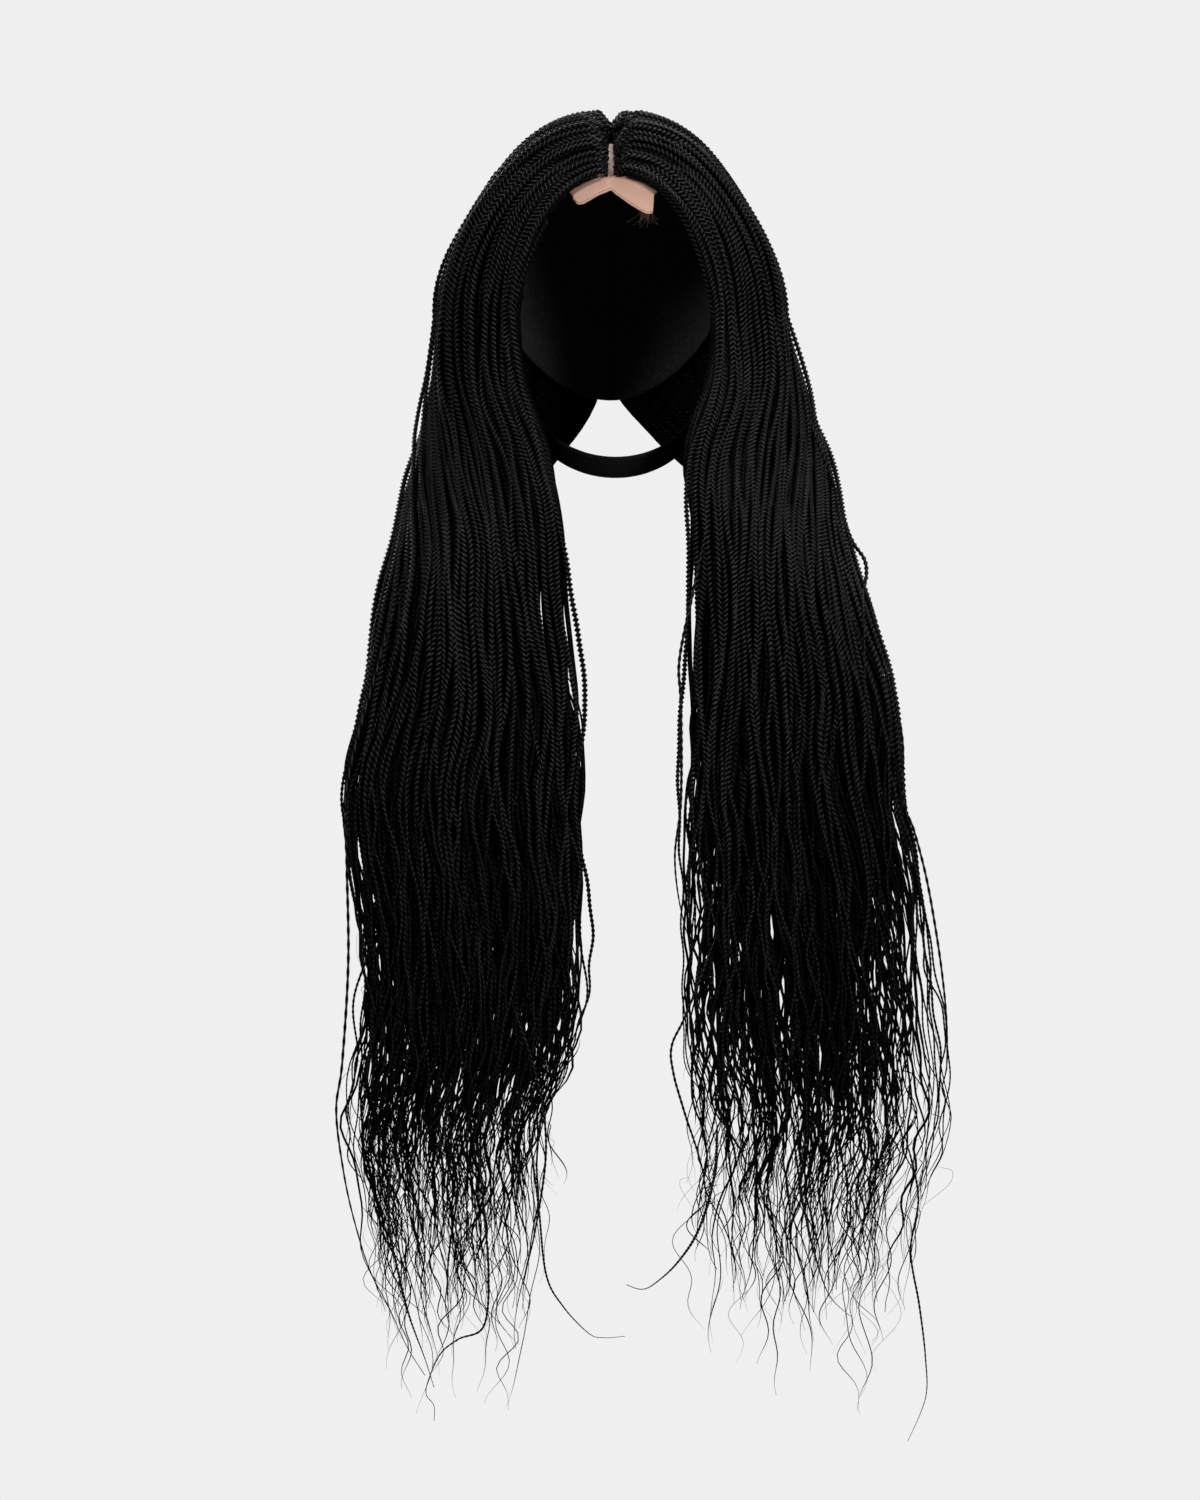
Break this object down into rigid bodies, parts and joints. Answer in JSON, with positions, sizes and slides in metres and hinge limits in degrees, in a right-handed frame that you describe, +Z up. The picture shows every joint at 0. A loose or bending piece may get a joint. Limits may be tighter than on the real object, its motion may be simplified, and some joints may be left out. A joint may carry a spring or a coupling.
{
  "type": "braid wig",
  "caption": "Long black wig of fine two-strand twists with a centre parting, a lace closure, a net cap and an elastic chin strap.",
  "frame": {"origin": "inside of the cap's crown, where the top of the head touches it", "axes": "+Z up, -Y towards the face side, +X to the viewer's right from in front"},
  "size_m": [0.4002, 0.2706, 0.8918],
  "materials": {
    "twist_hair": "satin synthetic fibre",
    "cap_net": "matte stretch net",
    "lace": "fine matte mesh",
    "elastic": "satin woven elastic"
  },
  "bodies": {
    "root": {"wig_cap": "cap_net", "lace_closure": "lace", "chin_strap": "elastic", "hairline_left": "twist_hair", "crown_left": "twist_hair", "back_crown_left": "twist_hair", "front_drop_left": "twist_hair", "side_drop_left": "twist_hair", "back_drop_left": "twist_hair", "front_fall_left": "twist_hair", "back_fall_left": "twist_hair", "ends_front_left_1": "twist_hair", "ends_front_left_2": "twist_hair", "ends_front_left_3": "twist_hair", "ends_front_left_4": "twist_hair", "ends_back_left_1": "twist_hair", "ends_back_left_2": "twist_hair", "ends_back_left_3": "twist_hair", "hairline_right": "twist_hair", "crown_right": "twist_hair", "back_crown_right": "twist_hair", "front_drop_right": "twist_hair", "side_drop_right": "twist_hair", "back_drop_right": "twist_hair", "front_fall_right": "twist_hair", "back_fall_right": "twist_hair", "ends_front_right_1": "twist_hair", "ends_front_right_2": "twist_hair", "ends_front_right_3": "twist_hair", "ends_front_right_4": "twist_hair", "ends_back_right_1": "twist_hair", "ends_back_right_2": "twist_hair", "ends_back_right_3": "twist_hair"}
  },
  "joints": []
}
